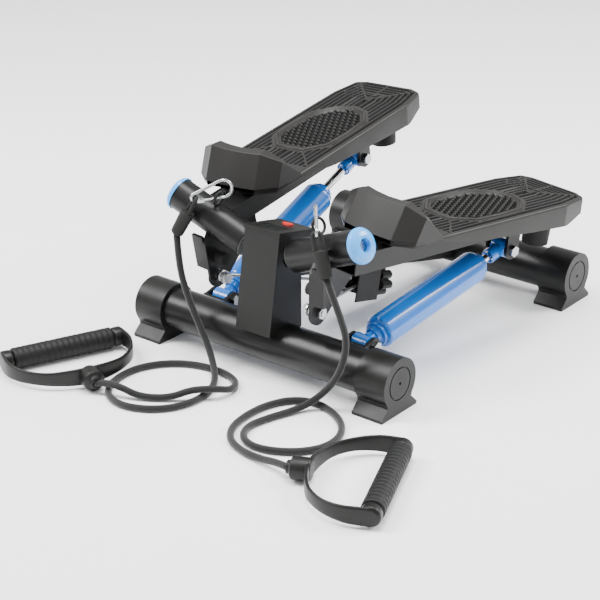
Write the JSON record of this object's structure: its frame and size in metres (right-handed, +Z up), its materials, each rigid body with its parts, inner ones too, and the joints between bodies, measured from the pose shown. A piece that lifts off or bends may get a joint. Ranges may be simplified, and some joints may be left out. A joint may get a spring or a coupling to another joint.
{
  "type": "mini stepper",
  "caption": "Compact twist stepper with two tilting pedals, hydraulic dampers, a console post and elastic pull cords with handles",
  "frame": {"origin": "on the floor, midway between the four feet", "axes": "+X to the right seen from the front, +Y to the rear where the heels stand, +Z up"},
  "size_m": [0.5974, 0.6924, 0.2495],
  "materials": {
    "powder_coat": "black satin powder coat on steel",
    "black_abs": "dark grey moulded plastic, fine grain",
    "cover_plastic": "black moulded plastic",
    "foot_plastic": "black moulded plastic with fine grain",
    "blue_lacquer": "glossy blue lacquer",
    "blue_plastic": "glossy light blue plastic",
    "zinc_steel": "bright zinc plating",
    "chrome": "polished chrome plating",
    "rubber": "black rubber",
    "cord": "black woven cover over elastic",
    "steel_rope": "steel wire rope",
    "screen": "dark display window",
    "red_plastic": "red translucent push button",
    "board": "green circuit board",
    "bush_plastic": "natural nylon",
    "black_plastic": "black moulded plastic"
  },
  "bodies": {
    "frame": {"front_crossbar": "powder_coat", "rear_crossbar": "powder_coat", "front_foot_caps": "foot_plastic", "rear_foot_caps": "foot_plastic", "spine_tube": "powder_coat", "post_core": "powder_coat", "post_shroud": "cover_plastic", "console_lid": "cover_plastic", "console_display": "screen", "console_board": "board", "axles": "zinc_steel", "axle_fasteners": "zinc_steel", "lower_clevises": "powder_coat", "lower_clevis_bolts": "zinc_steel", "adjuster_channel": "powder_coat", "pull_rope": "steel_rope", "right_cord": "cord", "right_handle": "black_plastic", "left_cord": "cord", "left_handle": "black_plastic"},
    "button": {"console_button": "red_plastic"},
    "knob": {"adjuster_knob": "black_plastic", "adjuster_screw": "zinc_steel"},
    "carriage": {"pulley_carriage": "zinc_steel", "pulley_pin": "zinc_steel"},
    "pulley": {"pulley": "black_plastic"},
    "right_half": {"right_swing_tube": "powder_coat", "right_pedal_arm": "powder_coat", "right_pedal": "black_abs", "right_massage_insert": "black_abs", "right_bumpers": "rubber", "right_upper_clevis": "powder_coat", "right_lever_plate": "powder_coat", "right_fasteners": "zinc_steel", "right_end_cap": "blue_plastic", "right_bushes": "bush_plastic", "right_cord_eye": "powder_coat", "right_carabiner": "zinc_steel", "right_cord_sleeve": "black_plastic"},
    "left_half": {"left_swing_tube": "powder_coat", "left_pedal_arm": "powder_coat", "left_pedal": "black_abs", "left_massage_insert": "black_abs", "left_bumpers": "rubber", "left_upper_clevis": "powder_coat", "left_lever_plate": "powder_coat", "left_fasteners": "zinc_steel", "left_end_cap": "blue_plastic", "left_bushes": "bush_plastic", "left_cord_eye": "powder_coat", "left_carabiner": "zinc_steel", "left_cord_sleeve": "black_plastic"},
    "right_cylinder": {"right_damper_cylinder": "blue_lacquer"},
    "left_cylinder": {"left_damper_cylinder": "blue_lacquer"},
    "right_rod": {"right_damper_rod": "chrome"},
    "left_rod": {"left_damper_rod": "chrome"},
    "right_gate": {"right_gate": "zinc_steel"},
    "left_gate": {"left_gate": "zinc_steel"},
    "right_grip": {"right_grip": "black_plastic"},
    "left_grip": {"left_grip": "black_plastic"}
  },
  "joints": [
    {"name": "right_swing", "type": "hinge", "parent": "frame", "child": "right_half", "pos_m": [0.13901, -0.20792, 0.20022], "axis": [0.9218, -0.079, 0.3795], "range_deg": [-1.8, 14.8], "deforming": ["pull_rope", "right_cord"]},
    {"name": "left_swing", "type": "hinge", "parent": "frame", "child": "left_half", "pos_m": [-0.13901, -0.20792, 0.20022], "axis": [0.9218, 0.079, -0.3795], "range_deg": [-14.81, 1.81], "deforming": ["left_cord"]},
    {"name": "right_damper_tilt", "type": "hinge", "parent": "frame", "child": "right_cylinder", "pos_m": [0.1116, -0.161, 0.051], "axis": [0.9025, -0.1625, 0.3988], "range_deg": [-2.2, 15.6]},
    {"name": "right_damper_stroke", "type": "slide", "parent": "right_cylinder", "child": "right_rod", "axis": [0.0984, 0.9794, 0.1765], "range_m": [-0.0048, 0.035]},
    {"name": "left_damper_tilt", "type": "hinge", "parent": "frame", "child": "left_cylinder", "pos_m": [-0.1116, -0.161, 0.051], "axis": [0.9112, 0.1577, -0.3806], "range_deg": [-15.5, 2.2]},
    {"name": "left_damper_stroke", "type": "slide", "parent": "left_cylinder", "child": "left_rod", "axis": [-0.0011, 0.9248, 0.3804], "range_m": [-0.035, 0.0048]},
    {"name": "knob_turn", "type": "hinge", "parent": "frame", "child": "knob", "pos_m": [0, 0.01472, 0.04634], "axis": [0, 0.9694, -0.2454], "range_deg": [-720, 720]},
    {"name": "carriage_travel", "type": "slide", "parent": "frame", "child": "carriage", "axis": [0, 0.9694, -0.2454], "range_m": [-0.0041, 0.0041]},
    {"name": "pulley_spin", "type": "hinge", "parent": "carriage", "child": "pulley", "pos_m": [0, -0.03956, 0.06008], "axis": [0, 0.2454, 0.9694], "range_deg": [-140, 140]},
    {"name": "button_press", "type": "slide", "parent": "frame", "child": "button", "axis": [0, -0.2079, -0.9781], "range_m": [0, 0.001], "stiffness_N_per_m": 300},
    {"name": "right_gate_open", "type": "hinge", "parent": "right_half", "child": "right_gate", "pos_m": [0.08831, -0.22506, 0.20841], "axis": [-0.7686, -0.6397, 0], "range_deg": [-8, 0], "stiffness_Nm_per_rad": 0.05},
    {"name": "left_gate_open", "type": "hinge", "parent": "left_half", "child": "left_gate", "pos_m": [-0.08831, -0.22506, 0.20841], "axis": [-0.7686, 0.6397, 0], "range_deg": [-8, 0], "stiffness_Nm_per_rad": 0.05},
    {"name": "right_grip_spin", "type": "hinge", "parent": "frame", "child": "right_grip", "pos_m": [0.29369, -0.36326, 0.015], "axis": [-0.3827, 0.9239, 0], "continuous": true},
    {"name": "left_grip_spin", "type": "hinge", "parent": "frame", "child": "left_grip", "pos_m": [-0.22124, -0.34618, 0.015], "axis": [-0.3939, -0.9191, 0], "continuous": true}
  ],
  "couplings": [
    {"joint": "left_swing", "follows": "right_swing", "ratio": -1},
    {"joint": "right_damper_tilt", "follows": "right_swing", "ratio": 1.0317},
    {"joint": "right_damper_stroke", "follows": "right_swing", "m_per_rad": 0.13271},
    {"joint": "left_damper_tilt", "follows": "right_swing", "ratio": -1.0218},
    {"joint": "left_damper_stroke", "follows": "right_swing", "m_per_rad": -0.13288},
    {"joint": "carriage_travel", "follows": "knob_turn", "m_per_rad": -0.00031831},
    {"joint": "pulley_spin", "follows": "right_swing", "ratio": 5.8}
  ]
}
